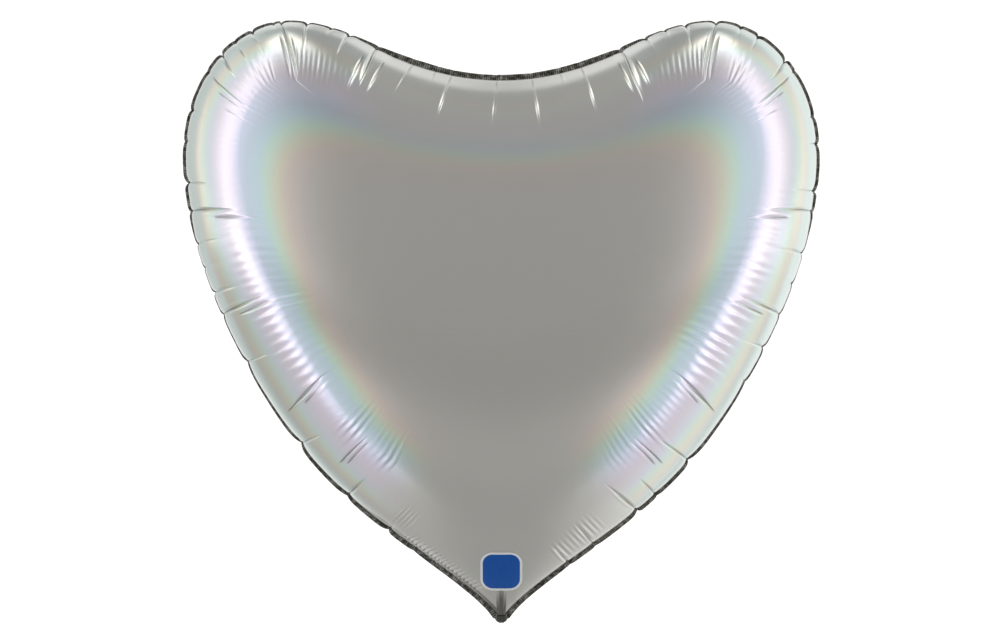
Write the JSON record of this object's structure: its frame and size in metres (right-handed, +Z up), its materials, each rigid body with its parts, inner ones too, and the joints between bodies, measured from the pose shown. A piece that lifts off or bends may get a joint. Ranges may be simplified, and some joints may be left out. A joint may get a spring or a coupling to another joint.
{
  "type": "heart-shaped foil balloon",
  "caption": "Inflated heart-shaped foil balloon: two films sealed at the edge, a self-sealing film valve at the tip, and a filling tail folded up behind.",
  "frame": {"origin": "the neck, where a ribbon is tied, on the mid-plane between the two panels", "axes": "+X to the right seen from the front, -Y out of the front panel, +Z up through the notch between the lobes"},
  "size_m": [0.74, 0.3012, 0.7006],
  "materials": {
    "foil": "glossy iridescent silver film",
    "sealed_foil": "embossed heat seal",
    "valve_film": "clear film",
    "release_coating": "matte print",
    "blue_ink": "flat print",
    "white_ink": "flat print"
  },
  "bodies": {
    "balloon": {"front_panel": "foil", "back_panel": "foil", "edge_seal": "sealed_foil", "valve_neck_front": "valve_film", "valve_neck_back": "valve_film", "printed_mark": "blue_ink", "mark_keyline": "white_ink"},
    "tail": {"tail_front_film": "foil", "tail_back_film": "foil", "tail_seal_left": "sealed_foil", "tail_seal_right": "sealed_foil", "inlet_front_film": "valve_film", "inlet_back_film": "valve_film"},
    "valve_front": {"valve_front_film": "valve_film"},
    "valve_back": {"valve_back_film": "valve_film", "valve_coating": "release_coating"}
  },
  "joints": [
    {"name": "tail_fold", "type": "hinge", "parent": "balloon", "child": "tail", "pos_m": [0, 0.003, 0.003], "axis": [-1, 0, 0], "range_deg": [0, 128]},
    {"name": "valve_open", "type": "hinge", "parent": "balloon", "child": "valve_front", "pos_m": [0, -0.0006, 0.01265], "axis": [1, 0, 0], "range_deg": [0, 8], "stiffness_Nm_per_rad": 0.02},
    {"name": "valve_open_back", "type": "hinge", "parent": "balloon", "child": "valve_back", "pos_m": [0, 0.0006, 0.01265], "axis": [1, 0, 0], "range_deg": [-8, 0], "stiffness_Nm_per_rad": 0.02}
  ],
  "couplings": [
    {"joint": "valve_open_back", "follows": "valve_open", "ratio": -1}
  ]
}
